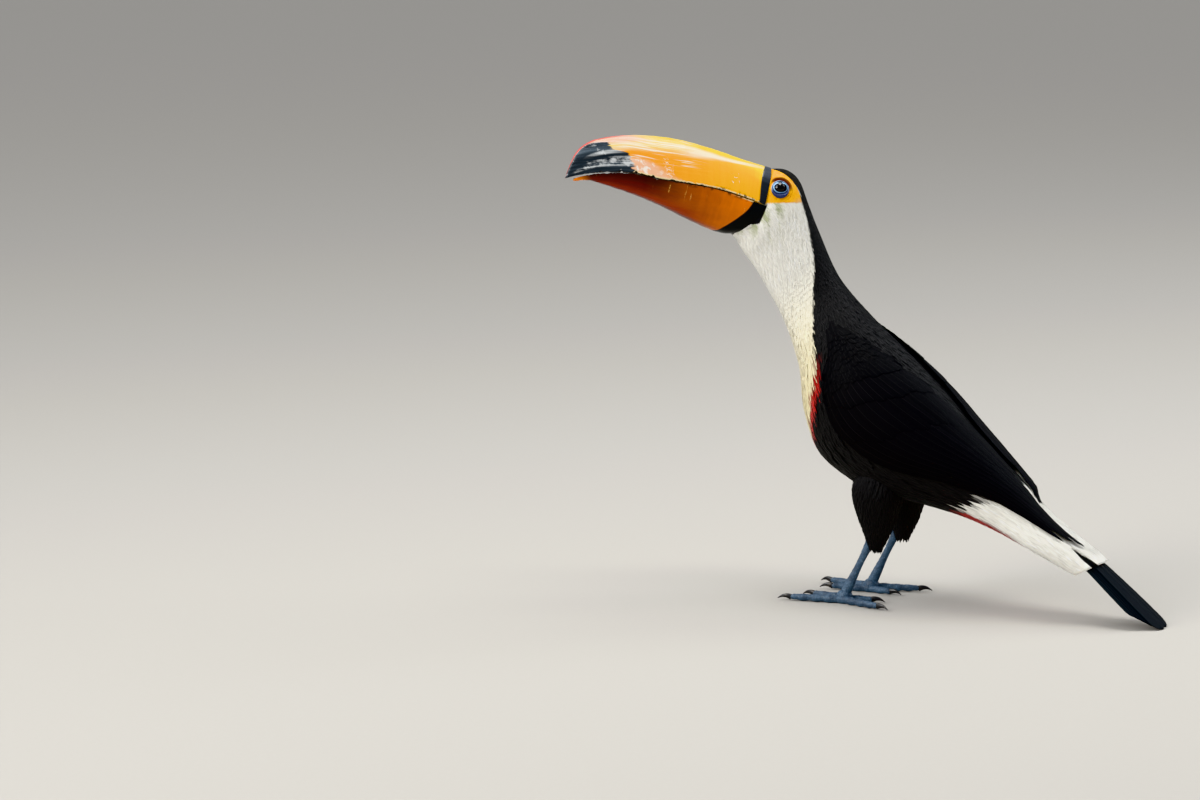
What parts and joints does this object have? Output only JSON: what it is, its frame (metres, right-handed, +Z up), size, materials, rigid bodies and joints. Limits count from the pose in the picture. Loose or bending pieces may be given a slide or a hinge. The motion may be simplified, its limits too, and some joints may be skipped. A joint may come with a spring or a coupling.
{
  "type": "toco toucan",
  "caption": "Life-size standing toco toucan: long curved orange bill with a dark tip, white bib, black body and folded wings, white rump, dark tail resting on the floor.",
  "frame": {"origin": "on the floor under the centre of the bounding box", "axes": "+Z up; the body faces -Y and its tail points to +Y; +X is the bird's left, the side its head is turned to"},
  "size_m": [0.1676, 0.453, 0.3604],
  "materials": {
    "bill": "smooth polished horn, orange above and red-orange below",
    "plumage_white": "soft white feathers over flesh",
    "plumage_black": "soft black feathers over flesh",
    "flight_feathers": "black feather vanes with a faint blue sheen",
    "plumage_red": "soft red feathers",
    "orbital_skin": "bare wrinkled cobalt blue skin",
    "eye": "wet dark brown, nearly black",
    "leg_skin": "bare scaly blue-grey skin",
    "claw": "dark horn"
  },
  "bodies": {
    "root": {"bill_lower": "bill", "bill_upper": "bill", "claw_inner_front_left": "claw", "claw_inner_front_right": "claw", "claw_inner_rear_left": "claw", "claw_inner_rear_right": "claw", "claw_outer_front_left": "claw", "claw_outer_front_right": "claw", "claw_outer_rear_left": "claw", "claw_outer_rear_right": "claw", "eye_left": "eye", "eye_right": "eye", "head": "plumage_white", "neck": "plumage_white", "orbital_ring_left": "orbital_skin", "orbital_ring_right": "orbital_skin", "tail_feather_left_1": "flight_feathers", "tail_feather_left_2": "flight_feathers", "tail_feather_left_3": "flight_feathers", "tail_feather_left_4": "flight_feathers", "tail_feather_left_5": "flight_feathers", "tail_feather_right_1": "flight_feathers", "tail_feather_right_2": "flight_feathers", "tail_feather_right_3": "flight_feathers", "tail_feather_right_4": "flight_feathers", "tail_feather_right_5": "flight_feathers", "tarsus_left": "leg_skin", "tarsus_right": "leg_skin", "thigh_left": "plumage_black", "thigh_right": "plumage_black", "toe_inner_front_left": "leg_skin", "toe_inner_front_right": "leg_skin", "toe_inner_rear_left": "leg_skin", "toe_inner_rear_right": "leg_skin", "toe_outer_front_left": "leg_skin", "toe_outer_front_right": "leg_skin", "toe_outer_rear_left": "leg_skin", "toe_outer_rear_right": "leg_skin", "trunk": "plumage_black", "under_tail_coverts": "plumage_red", "upper_tail_coverts": "plumage_white", "wing_coverts_left": "flight_feathers", "wing_coverts_right": "flight_feathers", "wing_flights_left": "flight_feathers", "wing_flights_right": "flight_feathers"}
  },
  "joints": []
}
